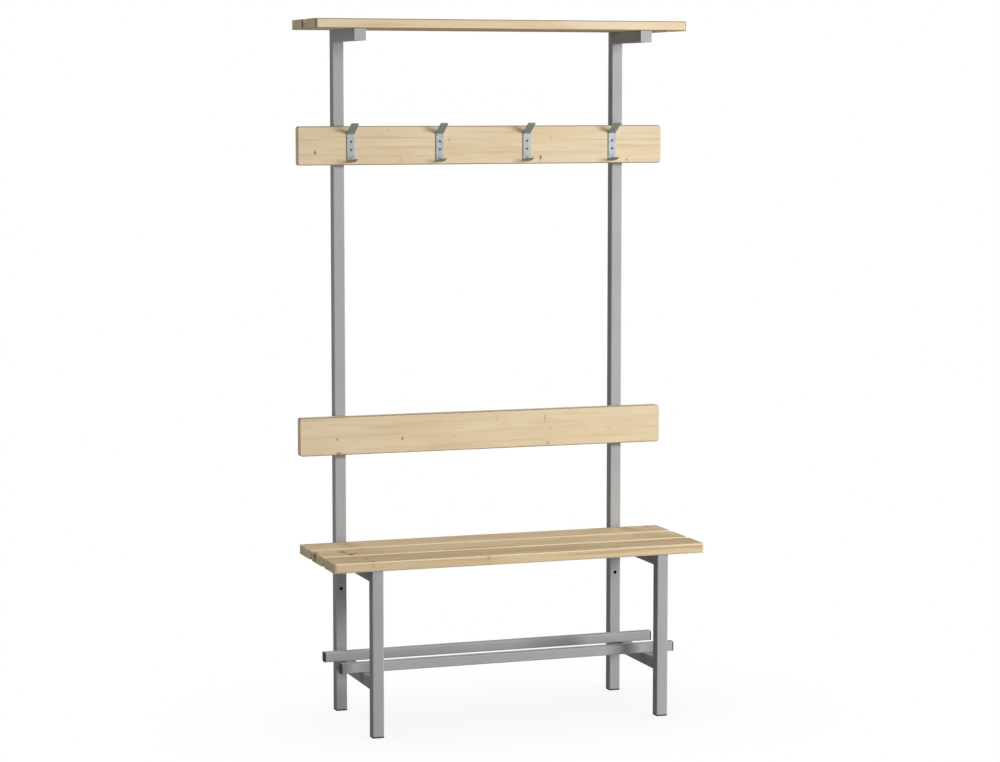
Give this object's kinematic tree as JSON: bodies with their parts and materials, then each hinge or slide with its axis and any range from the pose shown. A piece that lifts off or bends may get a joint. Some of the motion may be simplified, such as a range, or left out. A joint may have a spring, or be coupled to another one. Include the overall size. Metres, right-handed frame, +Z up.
{
  "type": "bench with coat rack",
  "caption": "Changing-room bench on square steel-tube side frames, with a slatted timber seat, backrest, shoe rack, a board of bent-strip coat hooks and a slatted top shelf.",
  "frame": {"origin": "on the floor, in the middle of the whole length and depth", "axes": "+X along the bench to the right of someone who faces it, -Y towards the front of the seat, +Z up"},
  "size_m": [1, 0.373, 1.8],
  "materials": {
    "coated_steel": "silver-grey powder coat, satin",
    "spruce": "planed spruce, clear satin varnish",
    "zinc_steel": "zinc-plated, satin",
    "black_plastic": "moulded, matt"
  },
  "bodies": {
    "root": {"upright_left": "coated_steel", "upright_right": "coated_steel", "front_leg_left": "coated_steel", "front_leg_right": "coated_steel", "seat_rail_left": "coated_steel", "seat_rail_right": "coated_steel", "lower_rail_left": "coated_steel", "lower_rail_right": "coated_steel", "shelf_arm_left": "coated_steel", "shelf_arm_right": "coated_steel", "arm_end_plate_left": "coated_steel", "arm_end_plate_right": "coated_steel", "welds_left": "coated_steel", "welds_right": "coated_steel", "shoe_tube_rear": "coated_steel", "shoe_tube_front": "coated_steel", "seat_slat_rear": "spruce", "seat_slat_middle": "spruce", "seat_slat_front": "spruce", "backrest_board": "spruce", "hook_board": "spruce", "shelf_slat_rear": "spruce", "shelf_slat_front": "spruce", "coat_hook_1": "zinc_steel", "coat_hook_2": "zinc_steel", "coat_hook_3": "zinc_steel", "coat_hook_4": "zinc_steel", "hook_screws": "zinc_steel", "seat_screws": "zinc_steel", "shelf_screws": "zinc_steel", "backrest_screws": "zinc_steel", "hook_board_screws": "zinc_steel", "shoe_tube_screws": "zinc_steel", "foot_rear_left": "black_plastic", "foot_rear_right": "black_plastic", "foot_front_left": "black_plastic", "foot_front_right": "black_plastic", "shoe_plug_rear_left": "black_plastic", "shoe_plug_rear_right": "black_plastic", "shoe_plug_front_left": "black_plastic", "shoe_plug_front_right": "black_plastic"}
  },
  "joints": []
}
